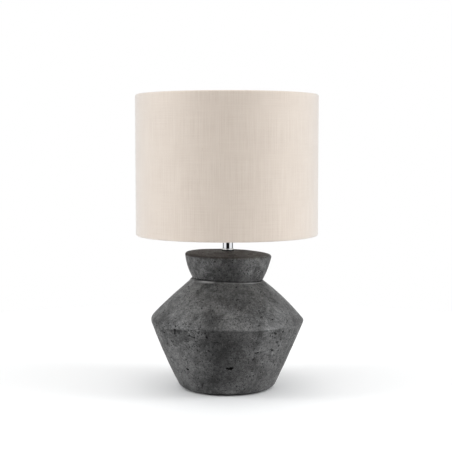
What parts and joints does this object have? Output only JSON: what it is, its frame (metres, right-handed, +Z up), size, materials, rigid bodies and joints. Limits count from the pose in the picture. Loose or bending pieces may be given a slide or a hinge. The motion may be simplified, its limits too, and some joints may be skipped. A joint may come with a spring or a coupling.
{
  "type": "table lamp",
  "caption": "Table lamp with a faceted urn-shaped stone base, a short chrome neck and a plain linen drum shade over a screw-cap bulb.",
  "frame": {"origin": "centre of the felt pad's underside, where the lamp stands on the table", "axes": "+Z up along the lamp's axis; -Y is the front, and the cord inlet is at the back, towards +Y; +X is to the right seen from the front"},
  "size_m": [0.3, 0.3, 0.483],
  "materials": {
    "stone": "matte charcoal stone effect, mottled, with fine open pits",
    "felt": "dense black felt",
    "rubber": "matte moulded rubber",
    "chrome": "polished chrome plate",
    "zinc": "bright zinc plate",
    "zinc_yellow": "yellow zinc plate on steel",
    "brass": "plain brass",
    "nickel": "thin rolled sheet, nickel plated",
    "porcelain": "white electrical porcelain",
    "black_plastic": "moulded black phenolic, semi-gloss",
    "white_metal": "white powder coat on steel wire",
    "liner": "white laminated lampshade sheet",
    "linen": "natural linen, plain weave with slubs",
    "black_glass": "vitreous insulating button",
    "clear_glass": "clear blown glass",
    "phosphor": "yellow phosphor-coated filament"
  },
  "bodies": {
    "base": {"felt_pad": "felt", "base_body": "stone", "cord_inlet_bush": "rubber", "rod_nut": "zinc_yellow", "rod_washer": "zinc", "threaded_rod": "zinc_yellow", "neck_gasket": "rubber", "neck_collar": "chrome", "neck_tube": "chrome", "holder_cap": "chrome", "holder_lock_screw": "zinc", "holder_insert": "porcelain", "terminal_screws": "brass", "centre_contact": "brass", "holder_shell": "nickel", "shell_rivets": "brass", "holder_skirt": "black_plastic"},
    "seat_ring": {"seat_ring": "black_plastic"},
    "shade": {"shade_fitter": "white_metal", "shade_arms": "white_metal", "lower_wire_ring": "white_metal", "upper_wire_ring": "white_metal", "shade_liner": "liner", "shade_linen": "linen", "lower_hem": "linen", "upper_hem": "linen"},
    "clamp_ring": {"clamp_ring": "black_plastic"},
    "bulb": {"bulb_contact": "nickel", "bulb_insulator": "black_glass", "bulb_cap": "nickel", "bulb_glass": "clear_glass", "bulb_stem": "clear_glass", "bulb_filaments": "phosphor", "bulb_leads": "nickel"}
  },
  "joints": [
    {"name": "bulb_removal", "type": "slide", "parent": "base", "child": "bulb", "axis": [0, 0, 1], "range_m": [0, 0.215]},
    {"name": "shade_lift", "type": "slide", "parent": "base", "child": "shade", "axis": [0, 0, 1], "range_m": [0, 0.14]},
    {"name": "clamp_ring_turn", "type": "hinge", "parent": "shade", "child": "clamp_ring", "pos_m": [0, 0, 0.2838], "axis": [0, 0, 1], "continuous": true},
    {"name": "seat_ring_turn", "type": "hinge", "parent": "base", "child": "seat_ring", "pos_m": [0, 0, 0.2755], "axis": [0, 0, 1], "continuous": true}
  ]
}
